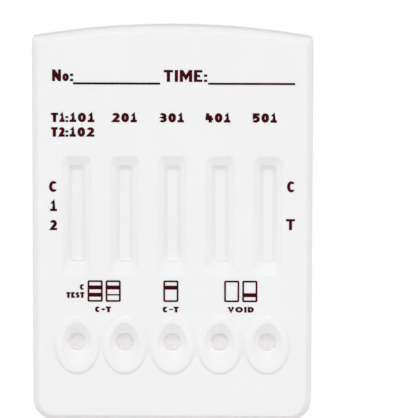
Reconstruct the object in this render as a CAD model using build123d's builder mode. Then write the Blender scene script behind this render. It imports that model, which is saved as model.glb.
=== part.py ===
from build123d import *
import os
from math import sqrt

# A five-strip lateral flow cassette: two moulded shells that close on five test strips.
# Millimetres. +X runs across the strips, +Y from the sample wells to the bowed head edge, +Z up.
# The origin is the middle of the underside.

# Case outline
case_width = 70.0
case_length = 100.5
crown_rise = 3.0
foot_corner_radius = 5.5
head_corner_radius = 1.0

# Shell walls
wall = 1.6
floor_thickness = 1.2
face_thickness = 1.0
head_room = 0.2
parting_height = 2.6
edge_bevel_width = 1.45
edge_bevel_drop = 0.9
edge_bevel_round = 0.9
edge_break_width = 0.25
edge_break_drop = 0.45
underside_chamfer = 0.5
seam_chamfer = 0.2

# Closing lip and pegs
lip_thickness = 0.7
lip_height = 0.6
lip_clearance = 0.1
peg_diameter = 2.4
peg_fit = 0.02
peg_boss_wall = 0.8
peg_end_gap = 0.3
peg_wall_gap = 0.8
peg_end_distance = 5.0

# Strips
strip_count = 5
strip_pitch = 11.95
strip_width = 4.8
strip_foot_gap = 13.25
strip_head_gap = 6.9
backing_thickness = 0.3
membrane_thickness = 0.2
conjugate_thickness = 0.3
sample_thickness = 0.45
absorbent_thickness = 0.7
conjugate_length = 8.0
pad_overlap = 2.0
pad_ramp = 0.5

# Strip trays in the base
tray_clearance = 0.1
tray_wall = 0.6
rest_bar_height = 1.8
rest_bar_width = 2.0
rest_bar_count = 7

# Windows
window_from_foot = 37.4
window_width = 7.4
window_length = 30.4
window_corner = 1.8
window_side_bevel = 1.47
window_head_bevel = 2.44
window_foot_bevel = 3.36
window_bevel_drop = 0.95
window_edge_round = 0.6
opening_corner = 1.3
throat_draft = 0.1
throat_corner = 1.2
frame_wall = 1.05
membrane_gap = 0.06
frame_pad_gap = 0.4

# Sample wells
well_from_foot = 19.7
well_width = 7.4
well_length = 11.4
rim_side_width = 2.15
rim_end_width = 2.0
rim_height = 0.5
rim_flank_width = 0.7
rim_outer_round = 0.6
rim_inner_round = 0.6
hole_diameter = 4.5
hole_offset = 0.62
hole_land = 0.85
well_wall = 1.0
sample_gap = 0.05

# Press bars under the cover
press_bar_width = 1.0
press_gap = 0.05

# Print on the cover
ink_thickness = 0.04
rule_width = 0.52
rule_from_head = 14.4
rule_spans = ((-24.8, -3.1), (8.85, 30.5))
key_width = 3.8
key_height = 5.5
key_corner = 0.4
key_line = 0.45
key_window_gap = 1.2
key_centres = (-19.37, -14.85, -0.35, 14.92, 19.47)
key_bar_drops = (1.83, 3.7)
key_bar_height = 1.0
key_faint_bar_height = 0.35

# Levels that follow from the sizes
seat_level = floor_thickness + rest_bar_height
backing_top = seat_level + backing_thickness
membrane_top = backing_top + membrane_thickness
conjugate_top = backing_top + conjugate_thickness
sample_top = backing_top + sample_thickness
absorbent_top = membrane_top + absorbent_thickness
throat_level = membrane_top + membrane_gap
plate_level = absorbent_top + head_room
face_level = plate_level + face_thickness
bevel_level = face_level - edge_bevel_drop
edge_level = bevel_level - edge_break_drop
rim_level = face_level + rim_height
well_foot_level = sample_top + sample_gap
hole_level = well_foot_level + hole_land
peg_top = plate_level - peg_end_gap

# Places along the case
case_foot = -case_length / 2
case_head = case_length / 2
crown_radius = ((case_width / 2) ** 2 + crown_rise**2) / (2 * crown_rise)
crown_centre = case_head - crown_radius
shoulder = case_head - crown_rise
window_foot = case_foot + window_from_foot
window_head = window_foot + window_length
opening_foot = window_foot + window_foot_bevel
opening_head = window_head - window_head_bevel
opening_width = window_width - 2 * window_side_bevel
well_y = case_foot + well_from_foot
hole_y = well_y + hole_offset
strip_foot = case_foot + strip_foot_gap
strip_head = shoulder - wall - strip_head_gap
conjugate_head = opening_foot - frame_wall - frame_pad_gap
conjugate_foot = conjugate_head - conjugate_length
membrane_foot = conjugate_head - pad_overlap
sample_head = conjugate_foot + pad_overlap
absorbent_foot = opening_head + frame_wall + frame_pad_gap
membrane_head = absorbent_foot + pad_overlap
strip_centres = [(i - (strip_count - 1) / 2) * strip_pitch for i in range(strip_count)]
strip_places = [(x, 0) for x in strip_centres]

# Pegs: a row beyond each end of the strips, and one between the strips, midway along the windows
peg_boss_radius = peg_diameter / 2 + peg_fit + peg_boss_wall
peg_side = case_width / 2 - wall - peg_wall_gap - peg_boss_radius
peg_ends = (case_foot + peg_end_distance, shoulder - peg_end_distance)
strip_gaps = [(a + b) / 2 for a, b in zip(strip_centres, strip_centres[1:])]
middle_gaps = [x for x in strip_gaps if abs(x) < strip_pitch]
peg_places = [(x, y) for y in peg_ends for x in (-peg_side, *middle_gaps, peg_side)]
peg_places += [(x, (opening_foot + opening_head) / 2) for x in strip_gaps]


def case_outline(level, inset=0.0, head_radius=0.0):
    """The case's plan at a level, moved in by inset: straight sides, round foot corners, bowed head."""
    half = case_width / 2 - inset
    corner = crown_centre + sqrt((crown_radius - inset) ** 2 - half**2)
    with BuildSketch(Plane.XY.offset(level)) as outline:
        with BuildLine():
            ThreePointArc((half, corner), (0, case_head - inset), (-half, corner))
            Polyline((-half, corner), (-half, case_foot + inset), (half, case_foot + inset), (half, corner))
        make_face()
        fillet(outline.vertices().group_by(Axis.Y)[0], foot_corner_radius - inset)
        if head_radius > 0:
            fillet(outline.vertices().group_by(Axis.Y)[-1], head_radius)
    return outline.sketch


def slot_outline(level, width, foot, head, corner):
    """A rounded slot along Y, from foot to head, on the line X = 0."""
    with BuildSketch(Plane.XY.offset(level)) as slot:
        with Locations((0, (foot + head) / 2)):
            RectangleRounded(width, head - foot, corner)
    return slot.sketch


def oval_outline(level, x_radius, y_radius, y):
    """An oval, or a circle where the two radii are equal, centred on (0, y)."""
    with BuildSketch(Plane.XY.offset(level)) as oval:
        with Locations((0, y)):
            Ellipse(x_radius, y_radius)
    return oval.sketch


# The hollow of one window: a shallow bevel down to the opening, then a throat with a little draft
with BuildPart() as window_hollow:
    opening_level = face_level - window_bevel_drop
    opening = slot_outline(opening_level, opening_width, opening_foot, opening_head, opening_corner)
    loft(
        [slot_outline(face_level, window_width, window_foot, window_head, window_corner), opening],
        ruled=True,
    )
    throat_width = opening_width - 2 * throat_draft
    throat_ends = opening_foot + throat_draft, opening_head - throat_draft
    loft([opening, slot_outline(throat_level, throat_width, *throat_ends, throat_corner)], ruled=True)

# The frame that stiffens one window from below
with BuildPart() as window_frame:
    frame_ends = opening_foot - frame_wall, opening_head + frame_wall
    frame_width = opening_width + 2 * frame_wall
    extrude(
        slot_outline(throat_level, frame_width, *frame_ends, opening_corner + frame_wall),
        amount=plate_level - throat_level,
    )

# The hollow of one well: an oval funnel that narrows to a round hole, nearer the head than the oval's middle
with BuildPart() as well_hollow:
    hole_radius = hole_diameter / 2
    hole_edge = oval_outline(hole_level, hole_radius, hole_radius, hole_y)
    loft([hole_edge, oval_outline(rim_level, well_width / 2, well_length / 2, well_y)], ruled=True)
    extrude(oval_outline(well_foot_level, hole_radius, hole_radius, hole_y), amount=hole_land)

# The raised rim of one well, and the socket below it that reaches down to the sample pad
with BuildPart() as well_rim:
    rim_radii = well_width / 2 + rim_side_width, well_length / 2 + rim_end_width
    crest_radii = [radius - rim_flank_width for radius in rim_radii]
    loft(
        [oval_outline(face_level, *rim_radii, well_y), oval_outline(rim_level, *crest_radii, well_y)],
        ruled=True,
    )
    fillet(well_rim.edges().group_by(Axis.Z)[-1], rim_outer_round)
    extrude(oval_outline(plate_level, *rim_radii, well_y), amount=face_level - plate_level)
    funnel_share = max(0.0, (plate_level - hole_level) / (rim_level - hole_level))
    socket_radii = [
        hole_radius + funnel_share * (size / 2 - hole_radius) + well_wall for size in (well_width, well_length)
    ]
    socket_y = hole_y - funnel_share * hole_offset
    extrude(oval_outline(well_foot_level, *socket_radii, socket_y), amount=plate_level - well_foot_level)

# Press bars: cross-bars that hold each overlap of two layers together, as (place along Y, top of the pad there)
press_bars = (
    (conjugate_foot + pad_overlap / 2, conjugate_top + sample_thickness),
    (membrane_foot + pad_overlap / 2, membrane_top + conjugate_thickness),
    (membrane_head - pad_overlap / 2, absorbent_top),
)

with BuildPart() as top_cover:
    bevel_foot = case_outline(bevel_level, edge_break_width)
    loft([case_outline(edge_level), bevel_foot], ruled=True)
    loft([bevel_foot, case_outline(face_level, edge_bevel_width)], ruled=True)
    extrude(case_outline(parting_height), amount=edge_level - parting_height)
    extrude(
        case_outline(parting_height, head_radius=head_corner_radius),
        amount=face_level - parting_height,
        mode=Mode.INTERSECT,
    )
    chamfer(top_cover.faces().sort_by(Axis.Z)[0].edges(), seam_chamfer)
    fillet(top_cover.faces().sort_by(Axis.Z)[-1].edges(), edge_bevel_round)
    extrude(case_outline(parting_height, wall), amount=plate_level - parting_height, mode=Mode.SUBTRACT)
    extrude(
        case_outline(parting_height, wall - lip_thickness - lip_clearance),
        amount=lip_height + lip_clearance,
        mode=Mode.SUBTRACT,
    )
    with Locations(*strip_places):
        add(window_frame.part)
    with Locations(*strip_places):
        add(window_hollow.part, mode=Mode.SUBTRACT)
    face = top_cover.faces().sort_by(Axis.Z)[-1]
    fillet(ShapeList(edge for wire in face.inner_wires() for edge in wire.edges()), window_edge_round)
    with Locations(*strip_places):
        add(well_rim.part)
    with Locations(*strip_places):
        add(well_hollow.part, mode=Mode.SUBTRACT)
    rims = top_cover.faces().group_by(Axis.Z)[-1]
    fillet(ShapeList(edge for rim in rims for wire in rim.inner_wires() for edge in wire.edges()), rim_inner_round)
    for bar_y, pad_top in press_bars:
        with BuildSketch(Plane.XY.offset(pad_top + press_gap)):
            with Locations(*[(x, bar_y) for x in strip_centres]):
                Rectangle(strip_width, press_bar_width)
        extrude(amount=plate_level - pad_top - press_gap)
    with BuildSketch(Plane.XY.offset(parting_height)):
        with Locations(*peg_places):
            Circle(peg_boss_radius)
            Circle(peg_diameter / 2 + peg_fit, mode=Mode.SUBTRACT)
    extrude(amount=plate_level - parting_height)

with BuildPart() as bottom_base:
    extrude(case_outline(0, head_radius=head_corner_radius), amount=parting_height)
    chamfer(bottom_base.faces().sort_by(Axis.Z)[0].edges(), underside_chamfer)
    chamfer(bottom_base.faces().sort_by(Axis.Z)[-1].edges(), seam_chamfer)
    extrude(case_outline(parting_height, wall - lip_thickness), amount=lip_height)
    extrude(
        case_outline(floor_thickness, wall),
        amount=parting_height + lip_height - floor_thickness,
        mode=Mode.SUBTRACT,
    )
    # Strip trays: a low wall round each strip, and rest bars across it
    tray_length = strip_head - strip_foot + 2 * tray_clearance
    tray_width = strip_width + 2 * tray_clearance
    tray_places = [(x, (strip_foot + strip_head) / 2) for x in strip_centres]
    with BuildSketch(Plane.XY.offset(floor_thickness)):
        with Locations(*tray_places):
            Rectangle(tray_width + 2 * tray_wall, tray_length + 2 * tray_wall)
            Rectangle(tray_width, tray_length, mode=Mode.SUBTRACT)
    extrude(amount=membrane_top - floor_thickness)
    rest_bar_pitch = (tray_length - rest_bar_width) / (rest_bar_count - 1)
    with BuildSketch(Plane.XY.offset(floor_thickness)):
        with Locations(*tray_places):
            with GridLocations(0, rest_bar_pitch, 1, rest_bar_count):
                Rectangle(tray_width, rest_bar_width)
    extrude(amount=rest_bar_height)
    # Pegs on shoulders
    with BuildSketch(Plane.XY.offset(floor_thickness)):
        with Locations(*peg_places):
            Circle(peg_boss_radius)
    extrude(amount=parting_height - lip_clearance - floor_thickness)
    with BuildSketch(Plane.XY.offset(floor_thickness)):
        with Locations(*peg_places):
            Circle(peg_diameter / 2)
    extrude(amount=peg_top - floor_thickness)


def layer_profile(foot, head, thickness, step_at=None, step=0.0, rises_to_head=True):
    """Side view (y, z) of a layer on the backing card, which may ramp up by step over its neighbour's end."""
    if step_at is None:
        line = [(foot, backing_top), (head, backing_top)]
    elif rises_to_head:
        line = [(foot, backing_top), (step_at - pad_ramp, backing_top)]
        line += [(step_at, backing_top + step), (head, backing_top + step)]
    else:
        line = [(foot, backing_top + step), (step_at, backing_top + step)]
        line += [(step_at + pad_ramp, backing_top), (head, backing_top)]
    return line + [(y, z + thickness) for y, z in reversed(line)]


layer_profiles = {
    "backing_card": [
        (strip_foot, seat_level),
        (strip_head, seat_level),
        (strip_head, backing_top),
        (strip_foot, backing_top),
    ],
    "membrane": layer_profile(membrane_foot, membrane_head, membrane_thickness),
    "conjugate_pad": layer_profile(
        conjugate_foot, conjugate_head, conjugate_thickness, membrane_foot, membrane_thickness
    ),
    "sample_pad": layer_profile(strip_foot, sample_head, sample_thickness, conjugate_foot, conjugate_thickness),
    "absorbent_pad": layer_profile(
        absorbent_foot, strip_head, absorbent_thickness, membrane_head, membrane_thickness, rises_to_head=False
    ),
}


def strip_layer(profile, centre):
    """One layer of a strip: its side view carried across the strip's width."""
    with BuildPart() as layer:
        with BuildSketch(Plane.YZ.offset(centre - strip_width / 2)):
            with BuildLine():
                Polyline(*profile, close=True)
            make_face()
        extrude(amount=strip_width)
    return layer.part


# Print: two write-in rules near the head, and below the windows a key of boxes with result bars
key_top = window_foot - key_window_gap
key_bars = (
    (key_bar_height, key_bar_height),
    (key_bar_height, key_faint_bar_height),
    (key_bar_height, None),
    (None, None),
    (None, key_bar_height),
)
with BuildPart() as printed_marks:
    with BuildSketch(Plane.XY.offset(face_level)):
        for start, end in rule_spans:
            with Locations(((start + end) / 2, case_head - rule_from_head)):
                Rectangle(end - start, rule_width)
        for centre, bars in zip(key_centres, key_bars):
            with Locations((centre, key_top - key_height / 2)):
                RectangleRounded(key_width, key_height, key_corner)
                Rectangle(key_width - 2 * key_line, key_height - 2 * key_line, mode=Mode.SUBTRACT)
            for drop, bar_height in zip(key_bar_drops, bars):
                if bar_height is not None:
                    with Locations((centre, key_top - drop)):
                        Rectangle(key_width - 2 * key_line, bar_height)
    extrude(amount=ink_thickness)

pieces = {"top_cover": top_cover.part, "bottom_base": bottom_base.part, "printed_marks": printed_marks.part}
for number, centre in enumerate(strip_centres, start=1):
    for layer, profile in layer_profiles.items():
        pieces[f"strip_{number}_{layer}"] = strip_layer(profile, centre)

os.makedirs("parts", exist_ok=True)
for name, piece in pieces.items():
    piece.label = name
    export_step(piece, f"parts/{name}.step")
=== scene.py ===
from math import cos, pi, radians, sin

import bpy
import numpy as np
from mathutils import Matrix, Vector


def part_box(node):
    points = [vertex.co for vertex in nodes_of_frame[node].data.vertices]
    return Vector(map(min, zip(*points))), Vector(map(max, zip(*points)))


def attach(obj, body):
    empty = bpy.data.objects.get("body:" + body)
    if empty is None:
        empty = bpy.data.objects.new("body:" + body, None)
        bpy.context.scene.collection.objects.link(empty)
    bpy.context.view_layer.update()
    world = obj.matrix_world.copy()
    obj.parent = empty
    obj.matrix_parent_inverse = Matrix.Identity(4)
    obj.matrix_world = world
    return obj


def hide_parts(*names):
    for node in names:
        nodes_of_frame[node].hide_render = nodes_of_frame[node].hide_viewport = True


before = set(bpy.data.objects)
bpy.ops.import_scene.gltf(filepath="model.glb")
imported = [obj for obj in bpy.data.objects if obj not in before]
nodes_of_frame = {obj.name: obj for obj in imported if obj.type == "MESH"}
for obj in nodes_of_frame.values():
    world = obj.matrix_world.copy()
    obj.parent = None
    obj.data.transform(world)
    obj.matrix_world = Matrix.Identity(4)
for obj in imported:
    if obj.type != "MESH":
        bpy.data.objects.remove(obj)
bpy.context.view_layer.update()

# A five-strip lateral flow cassette seen from above: white moulded shells, dark print, membranes and pads.
# Lengths are metres in the frame's own axes; print places are given in millimetres and scaled by MM.
MM = 0.001
STRIP_COUNT = 5
scene = bpy.context.scene


# Materials: shades and finishes of the pieces, with the scales of patterns in features per metre

CASE_WHITES = (0.868, 0.862, 0.868), (0.882, 0.88, 0.888)
CASE_DEPTH_SHARE = 0.35
# The lip is the case's own plastic. Its whites are pinker and darker than the case's, and it spreads less
# light inside: painted shade, for the darker bands beside the reading lane.
LIP_PAINTED_SHADE_WHITES = (0.874, 0.848, 0.848), (0.888, 0.866, 0.868)
LIP_DEPTH_SHARE = 0.16
PLASTIC_DEPTH = 0.9 * MM
PLASTIC_ROUGHNESS = 0.38, 0.5
CLOUD_SCALE = 60.0
PLASTIC_GRAIN_SCALE = 3200.0
PLASTIC_GRAIN_HEIGHT = 0.02 * MM
SPECK_SCALE = 130.0
SPECK_COLOUR = (0.45, 0.36, 0.36)
SPECK_STRENGTH = 0.35
SPECK_CORE = 0.008
SPECK_RIM = 0.016
INK_SHADES = (0.042, 0.001, 0.0036), (0.056, 0.002, 0.0056)
INK_ROUGHNESS = 0.6, 0.75
INK_DENSITY_SCALE = 900.0
INK_GRAIN_SCALE = 4000.0
INK_GRAIN_HEIGHT = 0.01 * MM
SHEET_RELIEF_HEIGHT = 0.05 * MM


def add_node(tree, kind, inputs=None, **settings):
    """One shader node with its settings and the values of its input sockets."""
    made = tree.nodes.new(kind)
    for key, value in settings.items():
        setattr(made, key, value)
    for socket, value in (inputs or {}).items():
        made.inputs[socket].default_value = value
    return made


def start_material(name, **shader_values):
    """A material with a Principled shader whose constant values sit on its own sockets."""
    material = bpy.data.materials.new(name)
    material.use_nodes = True
    tree = material.node_tree
    shader = tree.nodes["Principled BSDF"]
    for socket, value in shader_values.items():
        shader.inputs[socket.replace("_", " ")].default_value = value
    return material, tree, shader


def object_place(tree):
    """The place of a point in the piece's own axes, which the patterns follow."""
    return add_node(tree, "ShaderNodeTexCoord").outputs["Object"]


def noise(tree, place, scale, detail=2.0, stretch=None):
    """A noise pattern of the given scale, drawn out along an axis where stretch says so."""
    if stretch is not None:
        mapping = add_node(tree, "ShaderNodeMapping", {"Scale": stretch})
        tree.links.new(place, mapping.inputs["Vector"])
        place = mapping.outputs["Vector"]
    made = add_node(tree, "ShaderNodeTexNoise", {"Scale": scale, "Detail": detail})
    tree.links.new(place, made.inputs["Vector"])
    return made.outputs["Fac"]


def spread(tree, pattern, low, high, from_low=0.3, from_high=0.7):
    """A pattern spread over a range of values."""
    made = add_node(
        tree,
        "ShaderNodeMapRange",
        {"From Min": from_low, "From Max": from_high, "To Min": low, "To Max": high},
    )
    tree.links.new(pattern, made.inputs["Value"])
    return made.outputs["Result"]


def blend_colours(tree, share, first, second):
    """A colour between two, by share; either may be a plain colour or another node's output."""
    made = add_node(tree, "ShaderNodeMix", data_type="RGBA")
    tree.links.new(share, made.inputs["Factor"])
    for socket, colour in ((made.inputs[6], first), (made.inputs[7], second)):
        if isinstance(colour, tuple):
            socket.default_value = (*colour, 1.0)
        else:
            tree.links.new(colour, socket)
    return made.outputs[2]


def add_bump(tree, shader, height, strength, distance):
    """Surface relief that only turns the normals, for grain too fine to model."""
    made = add_node(tree, "ShaderNodeBump", {"Strength": strength, "Distance": distance})
    tree.links.new(height, made.inputs["Height"])
    tree.links.new(made.outputs["Normal"], shader.inputs["Normal"])


def case_plastic(name, whites, depth_share):
    """White satin polystyrene: a fine spark-eroded grain, faint cloudiness and a few dust specks.

    The cloudiness lies between the two whites, and the depth share is how much of the light goes into the
    plastic and spreads there.
    """
    material, tree, shader = start_material(
        name,
        Subsurface_Weight=depth_share,
        Subsurface_Radius=(1.0, 0.85, 0.85),
        Subsurface_Scale=PLASTIC_DEPTH,
        Specular_IOR_Level=0.28,
    )
    place = object_place(tree)
    cloud = spread(tree, noise(tree, place, CLOUD_SCALE, detail=3.0), 0.0, 1.0)
    white = blend_colours(tree, cloud, *whites)
    cells = add_node(tree, "ShaderNodeTexVoronoi", {"Scale": SPECK_SCALE})
    tree.links.new(place, cells.inputs["Vector"])
    speck = spread(tree, cells.outputs["Distance"], SPECK_STRENGTH, 0.0, SPECK_CORE, SPECK_RIM)
    speckled = blend_colours(tree, speck, white, SPECK_COLOUR)
    tree.links.new(speckled, shader.inputs["Base Color"])
    grain = noise(tree, place, PLASTIC_GRAIN_SCALE)
    tree.links.new(spread(tree, grain, *PLASTIC_ROUGHNESS), shader.inputs["Roughness"])
    add_bump(tree, shader, grain, strength=0.2, distance=PLASTIC_GRAIN_HEIGHT)
    return material


def ink_film():
    """Dark maroon pad-printed ink, a little uneven in density."""
    material, tree, shader = start_material("ink_film", Specular_IOR_Level=0.03)
    place = object_place(tree)
    density = spread(tree, noise(tree, place, INK_DENSITY_SCALE, detail=3.0), 0.0, 1.0)
    tree.links.new(blend_colours(tree, density, *INK_SHADES), shader.inputs["Base Color"])
    grain = noise(tree, place, INK_GRAIN_SCALE)
    tree.links.new(spread(tree, grain, *INK_ROUGHNESS), shader.inputs["Roughness"])
    add_bump(tree, shader, grain, strength=0.1, distance=INK_GRAIN_HEIGHT)
    return material


def soft_sheet(name, shades, scale, stretch, relief, roughness):
    """A matte porous or fibrous sheet: two close shades mixed by noise, with the same noise as relief.

    The noise is drawn out along the strip, where its scale is multiplied by stretch.
    """
    material, tree, shader = start_material(name, Specular_IOR_Level=0.15, Roughness=roughness)
    fibre = noise(tree, object_place(tree), scale, detail=4.0, stretch=(1.0, stretch, 1.0))
    shade = blend_colours(tree, spread(tree, fibre, 0.0, 1.0), *shades)
    tree.links.new(shade, shader.inputs["Base Color"])
    add_bump(tree, shader, fibre, strength=relief, distance=SHEET_RELIEF_HEIGHT)
    return material


finishes = {
    "white_case": case_plastic("case_plastic", CASE_WHITES, CASE_DEPTH_SHARE),
    "print_ink": ink_film(),
    "backing_card": soft_sheet(
        "backing_card_vinyl",
        shades=((0.82, 0.82, 0.81), (0.86, 0.86, 0.85)),
        scale=700.0,
        stretch=0.4,
        relief=0.1,
        roughness=0.5,
    ),
    "membrane": soft_sheet(
        "membrane_nitrocellulose",
        shades=((0.873, 0.868, 0.873), (0.907, 0.902, 0.907)),
        scale=2600.0,
        stretch=0.7,
        relief=0.18,
        roughness=0.8,
    ),
    "conjugate_pad": soft_sheet(
        "conjugate_glass_fibre",
        shades=((0.7, 0.5, 0.5), (0.83, 0.66, 0.66)),
        scale=1800.0,
        stretch=0.5,
        relief=0.5,
        roughness=0.9,
    ),
    "sample_pad": soft_sheet(
        "sample_pad_fibre",
        shades=((0.815, 0.772, 0.767), (0.877, 0.847, 0.842)),
        scale=2200.0,
        stretch=0.6,
        relief=0.5,
        roughness=0.9,
    ),
    "absorbent_pad": soft_sheet(
        "absorbent_cellulose",
        shades=((0.82, 0.82, 0.8), (0.89, 0.89, 0.87)),
        scale=1500.0,
        stretch=0.8,
        relief=0.5,
        roughness=0.9,
    ),
}
# The lip finish: a pinker, darker copy of the case plastic, painted shade on the lips.
lip_plastic_painted_shade = case_plastic("lip_plastic_painted_shade", LIP_PAINTED_SHADE_WHITES, LIP_DEPTH_SHARE)


def finish_node(name, slot):
    """Gives a CAD node the finish of its slot."""
    mesh = nodes_of_frame[name].data
    mesh.materials.clear()
    mesh.materials.append(finishes[slot])


for shell in ("top_cover", "bottom_base"):
    finish_node(shell, "white_case")
finish_node("printed_marks", "print_ink")
for number in range(1, STRIP_COUNT + 1):
    for layer in ("backing_card", "conjugate_pad", "absorbent_pad"):
        finish_node(f"strip_{number}_{layer}", layer)


# Mesh making: edges that turn by more than the crease angle, in degrees, are shaded sharp

USUAL_CREASE = 40.0
FINE_CREASE = 30.0
NO_CREASE = 180.0


def new_piece(name, points, quads, slot, crease=USUAL_CREASE, finish=None):
    """A mesh object at the origin from point and quad arrays, riding on the case.

    Its finish is its slot's, unless another is given.
    """
    mesh = bpy.data.meshes.new(name)
    mesh.from_pydata(points.reshape(-1, 3).tolist(), [], quads.reshape(-1, 4).tolist())
    mesh.polygons.foreach_set("use_smooth", np.ones(len(mesh.polygons), dtype=bool))
    mesh.set_sharp_from_angle(angle=radians(crease))
    mesh.materials.append(finish or finishes[slot])
    piece = bpy.data.objects.new(name, mesh)
    scene.collection.objects.link(piece)
    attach(piece, "root")
    return piece


def closed_slab(top, bottom):
    """Points and quads of a slab between two grids of the same shape.

    The top grid keeps its order, the bottom grid is turned over, and the four edges are joined by one strip
    that goes once round the border, so every edge has two faces.
    """
    rows, columns = top.shape[:2]
    index = np.arange(rows * columns).reshape(rows, columns)
    upper = np.stack([index[:-1, :-1], index[:-1, 1:], index[1:, 1:], index[1:, :-1]], axis=-1)
    upper = upper.reshape(-1, 4)
    lower = upper[:, ::-1] + rows * columns
    border = np.concatenate([index[0, :-1], index[:-1, -1], index[-1, :0:-1], index[:0:-1, 0]])
    after = np.roll(border, -1)
    edge = np.stack([border, border + rows * columns, after + rows * columns, after], axis=-1)
    points = np.concatenate([top.reshape(-1, 3), bottom.reshape(-1, 3)])
    return points, np.concatenate([upper, lower, edge])


def grid_over(low, high, step):
    """X and Y arrays of an even grid over a box, in steps of about the given length."""
    across = np.linspace(low.x, high.x, round((high.x - low.x) / step) + 1)
    along = np.linspace(low.y, high.y, round((high.y - low.y) / step) + 1)
    return np.meshgrid(across, along)


# Strips: the membrane that shows in each window and the sample pad that shows in each well

MEMBRANE_STEP = 0.15 * MM
MEMBRANE_RELIEF = 0.012 * MM
MEMBRANE_WAVES = ((900.0, 500.0), (-1400.0, 800.0), (2300.0, -1700.0), (3100.0, 2600.0))
PAD_STEP = 0.1 * MM
PAD_RAMP = 0.5 * MM
FIBRE_COUNT = 1500
FIBRE_LENGTH = 1.6 * MM
FIBRE_RADIUS = 0.13 * MM
FIBRE_DEPTH = 0.1 * MM
FIBRE_LEVELS = 0.35, 1.0


def membrane_sheet(number):
    """One membrane: flat below, and above z = top - relief * (1 - mean of cos(a x + b y + phase)) / 2."""
    node = f"strip_{number}_membrane"
    low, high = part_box(node)
    x, y = grid_over(low, high, MEMBRANE_STEP)
    ripple = np.mean([np.cos(a * x + b * y + number) for a, b in MEMBRANE_WAVES], axis=0)
    top = np.stack([x, y, high.z - MEMBRANE_RELIEF * (1 - ripple) / 2], axis=-1)
    bottom = np.stack([x, y, np.full_like(x, low.z)], axis=-1)
    piece = new_piece(f"membrane_sheet_{number}", *closed_slab(top, bottom), "membrane")
    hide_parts(node)


def fibre_relief(x, y, random):
    """Height from 0 to 1 of a mat of crossing straight fibres.

    Each fibre is a line piece with a random middle and direction. With d the distance from a grid point to
    it, the fibre lifts the point to level * sqrt(1 - (d / radius)^2), and the highest fibre counts.
    """
    middle_x = random.uniform(x.min(), x.max(), FIBRE_COUNT)
    middle_y = random.uniform(y.min(), y.max(), FIBRE_COUNT)
    turn = random.uniform(0.0, pi, FIBRE_COUNT)
    level = random.uniform(*FIBRE_LEVELS, FIBRE_COUNT)
    relief = np.zeros_like(x)
    for mx, my, angle, lift in zip(middle_x, middle_y, turn, level):
        along = (x - mx) * cos(angle) + (y - my) * sin(angle)
        beside = (y - my) * cos(angle) - (x - mx) * sin(angle)
        past_end = np.maximum(np.abs(along) - FIBRE_LENGTH / 2, 0.0)
        share = 1.0 - (beside**2 + past_end**2) / FIBRE_RADIUS**2
        relief = np.maximum(relief, lift * np.sqrt(np.maximum(share, 0.0)))
    return relief


def sample_pad(number):
    """One sample pad: a slab of even thickness that ramps up over the conjugate pad, with a fibrous top.

    The underside is z = low + step * clamp((y - (edge - ramp)) / ramp), where edge is the conjugate pad's
    foot, and the top is the underside plus thickness less depth * (1 - fibre relief).
    """
    node = f"strip_{number}_sample_pad"
    low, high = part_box(node)
    under_low, under_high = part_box(f"strip_{number}_conjugate_pad")
    sheet_low, sheet_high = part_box(f"strip_{number}_membrane")
    step = under_high.z - under_low.z - (sheet_high.z - sheet_low.z)
    thickness = high.z - low.z - step
    x, y = grid_over(low, high, PAD_STEP)
    underside = low.z + step * np.clip((y - (under_low.y - PAD_RAMP)) / PAD_RAMP, 0.0, 1.0)
    relief = fibre_relief(x, y, np.random.default_rng(number))
    top = np.stack([x, y, underside + thickness - FIBRE_DEPTH * (1 - relief)], axis=-1)
    bottom = np.stack([x, y, underside], axis=-1)
    piece = new_piece(f"sample_pad_mat_{number}", *closed_slab(top, bottom), "sample_pad", NO_CREASE)
    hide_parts(node)


# Window lips: a low sloping lip round the foot of each window's throat, which frames the reading lane. Its
# finish is a pinker, darker copy of the case plastic: painted shade.
# The lip's outer wall is let into the throat's wall by 0.015 mm, so that no gap shows.

THROAT_HALF_WIDTH = 2.145 * MM
THROAT_FOOT = -9.405 * MM
THROAT_HEAD = 15.025 * MM
THROAT_CORNER = 1.215 * MM
LIP_DRAFT = 0.025 * MM
LANE_HALF_WIDTH = 1.3 * MM
LANE_FOOT = -9.33 * MM
LANE_HEAD = 13.9 * MM
LANE_CORNER = 1.1 * MM
LIP_WALL_RISE = 0.24 * MM
LIP_EDGE_RISE = 0.06 * MM
CORNER_STEPS = 10


def rounded_loop(centre_x, half_width, foot, head, corner):
    """Points round a rounded rectangle, anticlockwise: each corner's middle + corner * (cos a, sin a)."""
    quarter = np.linspace(0.0, pi / 2, CORNER_STEPS)
    side, low, high = half_width - corner, foot + corner, head - corner
    middles = ((side, high, 0.0), (-side, high, pi / 2), (-side, low, pi), (side, low, 3 * pi / 2))
    arcs = [
        np.stack([x + corner * np.cos(turn + quarter), y + corner * np.sin(turn + quarter)], axis=1)
        for x, y, turn in middles
    ]
    return np.concatenate(arcs) + [centre_x, 0.0]


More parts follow.
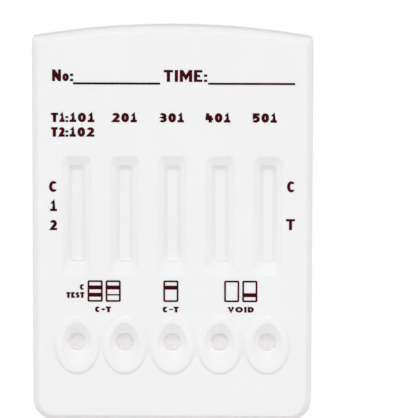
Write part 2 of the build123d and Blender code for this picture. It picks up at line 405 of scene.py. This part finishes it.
def window_lip(number):
    """One lip: the section wall foot, wall top, lane edge top, lane edge foot, carried round the throat.

    The throat opens upwards, so the wall top stands out from the wall foot by the draft.
    """
    low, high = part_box(f"strip_{number}_membrane")
    centre_x = (low.x + high.x) / 2
    wall = THROAT_HALF_WIDTH, THROAT_FOOT, THROAT_HEAD, THROAT_CORNER
    wall_foot = rounded_loop(centre_x, *wall)
    wall_top = rounded_loop(centre_x, *np.add(wall, LIP_DRAFT * np.array([1, -1, 1, 1])))
    lane = rounded_loop(centre_x, LANE_HALF_WIDTH, LANE_FOOT, LANE_HEAD, LANE_CORNER)
    section = ((wall_foot, 0.0), (wall_top, LIP_WALL_RISE), (lane, LIP_EDGE_RISE), (lane, 0.0))
    rings = [np.column_stack([loop, np.full(len(loop), high.z + rise)]) for loop, rise in section]
    points = np.stack(rings, axis=1)
    index = np.arange(points.shape[0] * 4).reshape(-1, 4)
    onward, round_section = np.roll(index, -1, axis=0), np.roll(index, -1, axis=1)
    quads = np.stack([index, onward, np.roll(onward, -1, axis=1), round_section], axis=-1)
    # The lip gets the pinker, darker copy of the case plastic: painted shade.
    new_piece(f"window_lip_{number}", points, quads, "white_case", FINE_CREASE, lip_plastic_painted_shade)


for number in range(1, STRIP_COUNT + 1):
    membrane_sheet(number)
    sample_pad(number)
    window_lip(number)


# Print: characters as ribbons of ink, each glyph drawn with strokes in a unit square.
# Level strokes have the bar share of an upright stroke's width, and slants are thinned by the slant share.
# A corner of a ribbon reaches out by at most the mitre limit, in half widths.

ARC_STEPS = 20
MITRE_LIMIT = 1.9
BAR_SHARE = 0.74
SLANT_SHARE = 0.75
DOT_LENGTH = 0.0001
COLON_RISE = 0.68
TINY = 1e-9


def arc(centre, radii, start, end):
    """Points on an oval arc, (x, y) = centre + radii * (cos a, sin a), between two angles in degrees."""
    angle = np.radians(np.linspace(start, end, ARC_STEPS))
    return [(centre[0] + radii[0] * cos(a), centre[1] + radii[1] * sin(a)) for a in angle]


def stroke(points, kind="open", trim=(0, 0)):
    """One stroke of a glyph: its centre line, and by how many half widths its two ends are cut back.

    The line is open, closed, or a slant between two stems, written from left to right, with upright ends.
    """
    return points, kind, trim


round_path = arc((0.5, 0.5), (0.5, 0.5), 90, 450)[:-1]
GLYPHS = {
    "0": [stroke(round_path, kind="closed")],
    "1": [
        stroke([(0.08, 0.72), (0.56, 1.0), (0.56, 0.0)], trim=(0, 1)),
        stroke([(0.0, 0.0), (1.0, 0.0)], trim=(-1, -1)),
    ],
    "2": [
        stroke(
            [*arc((0.48, 0.7), (0.48, 0.3), 160, -25), (0.0, 0.0), (1.0, 0.0)],
            trim=(0, -1),
        )
    ],
    "3": [
        stroke(
            [
                *arc((0.42, 0.76), (0.5, 0.24), 140, -75),
                (0.3, 0.52),
                *arc((0.42, 0.26), (0.58, 0.26), 75, -140),
            ],
        )
    ],
    "4": [
        stroke([(0.12, 1.0), (0.0, 0.34), (1.0, 0.34)], trim=(-1, -1)),
        stroke([(0.72, 0.86), (0.72, 0.34)], trim=(0, 1)),
        stroke([(0.72, 0.34), (0.72, 0.0)], trim=(1, -1)),
    ],
    "5": [
        stroke(
            [(0.95, 1.0), (0.1, 1.0), (0.06, 0.52), *arc((0.45, 0.32), (0.55, 0.32), 100, -150)],
            trim=(-1, 0),
        )
    ],
    "C": [stroke(arc((0.55, 0.5), (0.55, 0.5), 42, 318))],
    "D": [
        stroke([(0.0, 0.0), (0.0, 1.0), *arc((0.4, 0.5), (0.6, 0.5), 90, -90)], kind="closed"),
    ],
    "E": [
        stroke([(1.0, 1.0), (0.0, 1.0), (0.0, 0.0), (1.0, 0.0)], trim=(-1, -1)),
        stroke([(0.0, 0.5), (0.9, 0.5)], trim=(1, 0)),
    ],
    "I": [stroke([(0.5, 0.0), (0.5, 1.0)], trim=(-1, -1))],
    "M": [
        stroke([(0.0, 0.0), (0.0, 1.0)], trim=(-1, -1)),
        stroke([(0.0, 1.0), (0.5, 0.3), (1.0, 1.0)], kind="slant", trim=(1, 1)),
        stroke([(1.0, 0.0), (1.0, 1.0)], trim=(-1, -1)),
    ],
    "N": [
        stroke([(0.0, 0.0), (0.0, 1.0)], trim=(-1, -1)),
        stroke([(0.0, 1.0), (1.0, 0.0)], kind="slant", trim=(1, 1)),
        stroke([(1.0, 0.0), (1.0, 1.0)], trim=(-1, -1)),
    ],
    "O": [stroke(round_path, kind="closed")],
    "o": [stroke(arc((0.5, 0.3), (0.5, 0.3), 90, 450)[:-1], kind="closed")],
    "S": [
        stroke([*arc((0.52, 0.75), (0.46, 0.25), 25, 255), *arc((0.48, 0.25), (0.52, 0.25), 75, -155)]),
    ],
    "T": [
        stroke([(0.0, 1.0), (1.0, 1.0)], trim=(-1, -1)),
        stroke([(0.5, 1.0), (0.5, 0.0)], trim=(1, -1)),
    ],
    "V": [stroke([(0.0, 1.0), (0.5, 0.0), (1.0, 1.0)], trim=(-1, -1))],
    "+": [
        stroke([(0.0, 0.5), (1.0, 0.5)], trim=(-1, -1)),
        stroke([(0.5, 0.5), (0.5, 0.85)], trim=(1, 0)),
        stroke([(0.5, 0.5), (0.5, 0.15)], trim=(1, 0)),
    ],
    "-": [stroke([(0.0, 0.5), (1.0, 0.5)], trim=(-1, -1))],
    ":": [
        stroke([(0.5, 0.0), (0.5, DOT_LENGTH)], trim=(-1, -1)),
        stroke([(0.5, COLON_RISE), (0.5, COLON_RISE + DOT_LENGTH)], trim=(-1, -1)),
    ],
}
GLYPH_WIDTHS = {"I": 0.3, "1": 0.64, ":": 0.26, "M": 1.15, "N": 1.0, "O": 1.0, "o": 0.72, "T": 0.85}
USUAL_WIDTH = 0.78
GLYPH_GAP = 0.16


def slanted_ribbon(line, half, trim):
    """A slant between two stems, as upper and lower edge points: line +- (0, reach).

    The ends move in by trim half widths, and reach is half / cos(slope), a little thinned. An end at a stem
    is level with the stem's end, so it is moved towards its neighbour's level by what reach has over half.
    """
    line = np.array(line, dtype=float)
    line[[0, -1], 0] += half * np.array([trim[0], -trim[1]])
    across, rise = line[1] - line[0]
    reach = SLANT_SHARE * half * np.hypot(across, rise) / across
    inward = np.sign([line[1, 1] - line[0, 1], line[-2, 1] - line[-1, 1]])
    line[[0, -1], 1] += inward * (reach - half) * np.array(trim)
    return line + [0.0, reach], line - [0.0, reach]


def ribbon(line, half, kind, trim):
    """A flat ribbon of the given half width along a line of points, as left and right edge points.

    Each edge is line +- half * n / cos(turn / 2), with n the mean of the two neighbouring pieces' normals.
    Open ends are moved along the line by trim half widths.
    """
    if kind == "slant":
        return slanted_ribbon(line, half, trim)
    line = np.array(line, dtype=float)
    closed = kind == "closed"
    if not closed:
        ends = np.array([line[1] - line[0], line[-2] - line[-1]])
        inward = ends / np.linalg.norm(ends, axis=1, keepdims=True)
        line[[0, -1]] += inward * half * np.reshape(trim, (2, 1))
    piece = np.roll(line, -1, axis=0) - line
    piece /= np.linalg.norm(piece, axis=1, keepdims=True)
    normal = np.stack([-piece[:, 1], piece[:, 0]], axis=1)
    before = np.roll(normal, 1, axis=0)
    if not closed:
        before[0] = normal[0]
        normal[-1] = before[-1]
    mean = normal + before
    mean /= np.maximum(np.linalg.norm(mean, axis=1, keepdims=True), TINY)
    reach = half / np.maximum(np.sum(mean * normal, axis=1, keepdims=True), 1 / MITRE_LIMIT)
    return line + mean * reach, line - mean * reach


def inked_ribbon(left, right, closed, low, high):
    """Points and quads of a ribbon of ink, from its edge points and the levels of its underside and top."""
    count = len(left)
    flat = np.stack([right, left, left, right], axis=1).reshape(-1, 2)
    level = np.tile([high, high, low, low], count)
    points = np.column_stack([flat, level])
    ring = np.arange(4 * count).reshape(count, 4)
    first, second = (ring, np.roll(ring, -1, axis=0)) if closed else (ring[:-1], ring[1:])
    turned = np.roll(np.arange(4), -1)
    walls = np.stack([first, second, second[:, turned], first[:, turned]], axis=-1).reshape(-1, 4)
    if closed:
        return points, walls
    return points, np.concatenate([walls, ring[:1], ring[-1:, ::-1]])


def word_strokes(text, weight, left, right, foot, head):
    """The strokes of a word set in a box: glyphs side by side in their usual widths, scaled to fill it."""
    height = head - foot
    widths = np.array([GLYPH_WIDTHS.get(letter, USUAL_WIDTH) for letter in text])
    starts = np.concatenate([[0.0], np.cumsum(widths + GLYPH_GAP)[:-1]])
    scale = (right - left) / (starts[-1] + widths[-1])
    half = weight / 2
    for letter, start, width in zip(text, starts * scale + left, widths * scale):
        for points, kind, trim in GLYPHS[letter]:
            unit = np.array(points)
            place = np.array([start + half, foot + half * BAR_SHARE])
            room = np.array([max(width - weight, 0.0), height - weight * BAR_SHARE])
            line = place + unit * room
            if width <= weight:
                line[:, 0] = start + width / 2
            yield line, half, kind, trim


def printed_words(name, words):
    """A group of printed words as one film of ink on the face.

    Each word is its text, its stroke width and its box, as left, right, foot and head, in millimetres.
    Upright strokes have the full width and level ones the bar share of it: the ribbon is made with Y divided
    by that share, which is then multiplied back.
    """
    low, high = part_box("printed_marks")
    squeeze = np.array([1.0, BAR_SHARE])
    points, quads, count = [], [], 0
    for word in words:
        for line, half, kind, trim in word_strokes(*word):
            left, right = ribbon(line / squeeze * MM, half * MM, kind, trim)
            edges = left * squeeze, right * squeeze
            stroke_points, stroke_quads = inked_ribbon(*edges, kind == "closed", low.z, high.z)
            points.append(stroke_points)
            quads.append(stroke_quads + count)
            count += len(stroke_points)
    new_piece(name, np.concatenate(points), np.concatenate(quads), "print_ink", FINE_CREASE)


NUMBER_WEIGHT = 0.82
COLON_WEIGHT = 0.7
FIELD_COLON_WEIGHT = 0.8
LEFT_SCALE_WEIGHT = 0.78
RIGHT_SCALE_WEIGHT = 0.76
LABEL_WEIGHT = 0.56
CAPTION_WEIGHT = 0.6
PLUS_WEIGHT = 0.36
MINUS_WEIGHT = 0.4
NUMBER_ROW = 26.1, 28.45
NUMBER_COLON_ROW = 26.1, 28.1
SECOND_ROW = 22.4, 24.8
SECOND_COLON_ROW = 22.4, 24.5
CAPTION_ROW = -22.2, -20.75
CAPTION_SIGN_ROW = -22.0, -20.95

printed_words(
    "print_field_words",
    [
        ("No", 0.72, -30.0, -25.85, 36.4, 39.35),
        (":", FIELD_COLON_WEIGHT, -25.55, -24.75, 36.4, 38.9),
        ("TIME", NUMBER_WEIGHT, -2.2, 7.4, 36.3, 39.3),
        (":", FIELD_COLON_WEIGHT, 7.8, 8.6, 36.3, 38.8),
    ],
)
printed_words(
    "print_strip_numbers",
    [
        ("T1", NUMBER_WEIGHT, -30.3, -26.9, *NUMBER_ROW),
        (":", COLON_WEIGHT, -26.7, -26.0, *NUMBER_COLON_ROW),
        ("101", NUMBER_WEIGHT, -25.7, -19.5, *NUMBER_ROW),
        ("T2", NUMBER_WEIGHT, -30.3, -26.9, *SECOND_ROW),
        (":", COLON_WEIGHT, -26.7, -26.0, *SECOND_COLON_ROW),
        ("102", NUMBER_WEIGHT, -25.7, -19.5, *SECOND_ROW),
        ("201", NUMBER_WEIGHT, -15.1, -8.9, *NUMBER_ROW),
        ("301", NUMBER_WEIGHT, -3.35, 2.8, *NUMBER_ROW),
        ("401", NUMBER_WEIGHT, 8.2, 14.4, *NUMBER_ROW),
        ("501", NUMBER_WEIGHT, 19.85, 26.0, *NUMBER_ROW),
    ],
)
printed_words(
    "print_reading_scale",
    [
        ("C", LEFT_SCALE_WEIGHT, -30.85, -28.85, 8.4, 11.2),
        ("1", LEFT_SCALE_WEIGHT, -30.65, -28.9, 3.55, 6.35),
        ("2", LEFT_SCALE_WEIGHT, -30.65, -28.9, -1.3, 1.3),
        ("C", RIGHT_SCALE_WEIGHT, 28.65, 30.6, 8.5, 11.3),
        ("T", RIGHT_SCALE_WEIGHT, 28.45, 30.7, -1.1, 1.7),
    ],
)
printed_words(
    "print_key_words",
    [
        ("C", LABEL_WEIGHT, -23.2, -22.1, -16.5, -15.05),
        ("TEST", LABEL_WEIGHT, -26.6, -22.1, -18.55, -17.1),
        ("C", CAPTION_WEIGHT, -19.4, -18.15, *CAPTION_ROW),
        ("+", PLUS_WEIGHT, -17.85, -16.8, *CAPTION_SIGN_ROW),
        ("T", CAPTION_WEIGHT, -16.65, -15.4, *CAPTION_ROW),
        ("C", CAPTION_WEIGHT, -2.4, -1.15, *CAPTION_ROW),
        ("-", MINUS_WEIGHT, -0.8, 0.15, *CAPTION_SIGN_ROW),
        ("T", CAPTION_WEIGHT, 0.35, 1.6, *CAPTION_ROW),
        ("VOID", CAPTION_WEIGHT, 14.0, 20.5, *CAPTION_ROW),
    ],
)

# Floor and background: a white sheet under the case, white to the camera far away

FLOOR_HALF = 3.0
FLOOR_DROP = 0.02 * MM
FLOOR_BOUNCE = 0.5
FLOOR_GLOW = 0.6


def seen_by_eye(tree):
    """A value of 1 for rays that see the background: from the camera, or by gloss or glass."""
    path = add_node(tree, "ShaderNodeLightPath")
    seen = path.outputs["Is Camera Ray"]
    for ray in ("Is Glossy Ray", "Is Transmission Ray"):
        either = add_node(tree, "ShaderNodeMath", operation="MAXIMUM")
        tree.links.new(seen, either.inputs[0])
        tree.links.new(path.outputs[ray], either.inputs[1])
        seen = either.outputs[0]
    return seen


def white_floor():
    """A flat square sheet just under the case, white to the eye, which keeps the case's shadow."""
    corners = FLOOR_HALF * np.array([(-1, -1, 0), (1, -1, 0), (1, 1, 0), (-1, 1, 0)])
    mesh = bpy.data.meshes.new("floor")
    mesh.from_pydata((corners - [0.0, 0.0, FLOOR_DROP]).tolist(), [], [(0, 1, 2, 3)])
    material, tree, shader = start_material(
        "floor_paper",
        Base_Color=(FLOOR_BOUNCE, FLOOR_BOUNCE, FLOOR_BOUNCE, 1.0),
        Roughness=0.9,
        Specular_IOR_Level=0.0,
        Emission_Color=(1.0, 1.0, 1.0, 1.0),
    )
    glow = add_node(tree, "ShaderNodeMapRange", {"To Max": FLOOR_GLOW})
    tree.links.new(seen_by_eye(tree), glow.inputs["Value"])
    tree.links.new(glow.outputs["Result"], shader.inputs["Emission Strength"])
    mesh.materials.append(material)
    floor = bpy.data.objects.new("floor", mesh)
    scene.collection.objects.link(floor)


def white_world(strength, tint):
    """An even pale surround: plain fill light, and full white where the eye looks at it."""
    world = bpy.data.worlds.new("studio")
    world.use_nodes = True
    tree = world.node_tree
    backdrop = tree.nodes["Background"]
    seen = seen_by_eye(tree)
    tree.links.new(blend_colours(tree, seen, tint, (1.0, 1.0, 1.0)), backdrop.inputs["Color"])
    level = add_node(tree, "ShaderNodeMapRange", {"To Min": strength, "To Max": 1.0})
    tree.links.new(seen, level.inputs["Value"])
    tree.links.new(level.outputs["Result"], backdrop.inputs["Strength"])
    scene.world = world


LAMP_DISTANCE = 5.0
LAMP_SIZE = 3.0
LAMP_TINT = (0.936, 1.0, 1.005)
FILL_TINT = (1.0, 0.905, 0.905)
FOOT_TINT = (1.0, 0.65, 0.65)


def soft_lamp(name, bearing, tilt, power, tint=LAMP_TINT):
    """A square soft box aimed at the case, at a bearing clockwise from +Y and a tilt from straight above."""
    lamp = bpy.data.lights.new(name, "AREA")
    lamp.size = LAMP_SIZE
    lamp.energy = power
    lamp.color = tint
    holder = bpy.data.objects.new(name, lamp)
    turn, lean = radians(bearing), radians(tilt)
    holder.location = LAMP_DISTANCE * np.array([sin(lean) * sin(turn), sin(lean) * cos(turn), cos(lean)])
    holder.rotation_euler = (-holder.location).to_track_quat("-Z", "Y").to_euler()
    scene.collection.objects.link(holder)


white_floor()
white_world(strength=0.38, tint=FILL_TINT)
soft_lamp("overhead_soft_box", bearing=0.0, tilt=0.0, power=67.0)
soft_lamp("head_soft_box", bearing=0.0, tilt=50.0, power=77.0)
soft_lamp("left_soft_box", bearing=270.0, tilt=60.0, power=62.0)
soft_lamp("right_soft_box", bearing=90.0, tilt=60.0, power=59.0)
soft_lamp("foot_soft_box", bearing=180.0, tilt=60.0, power=13.0, tint=FOOT_TINT)

# Camera: the photograph's view, looking down on the face and leaning a little from the head end

CAMERA_TARGET = np.array([8.9, 4.2, 5.4]) * MM
CAMERA_DISTANCE = 1058.3 * MM
CAMERA_LEAN = radians(10.0)
CAMERA_ROLL = radians(0.1833)
CAMERA_LENS = 366.0
SENSOR_WIDTH = 36.0


def photo_camera():
    """A camera at target + distance * back, with its right and up turned by the roll."""
    camera = bpy.data.cameras.new("camera")
    camera.sensor_fit = "HORIZONTAL"
    camera.sensor_width = SENSOR_WIDTH
    camera.lens = CAMERA_LENS
    back = np.array([0.0, sin(CAMERA_LEAN), cos(CAMERA_LEAN)])
    level_right = np.array([1.0, 0.0, 0.0])
    level_up = np.cross(back, level_right)
    right = cos(CAMERA_ROLL) * level_right + sin(CAMERA_ROLL) * level_up
    up = cos(CAMERA_ROLL) * level_up - sin(CAMERA_ROLL) * level_right
    placed = np.eye(4)
    placed[:3, :3] = np.stack([right, up, back], axis=1)
    placed[:3, 3] = CAMERA_TARGET + CAMERA_DISTANCE * back
    holder = bpy.data.objects.new("camera", camera)
    scene.collection.objects.link(holder)
    holder.matrix_world = placed.T.tolist()
    scene.camera = holder


photo_camera()
scene.view_settings.view_transform = "Standard"
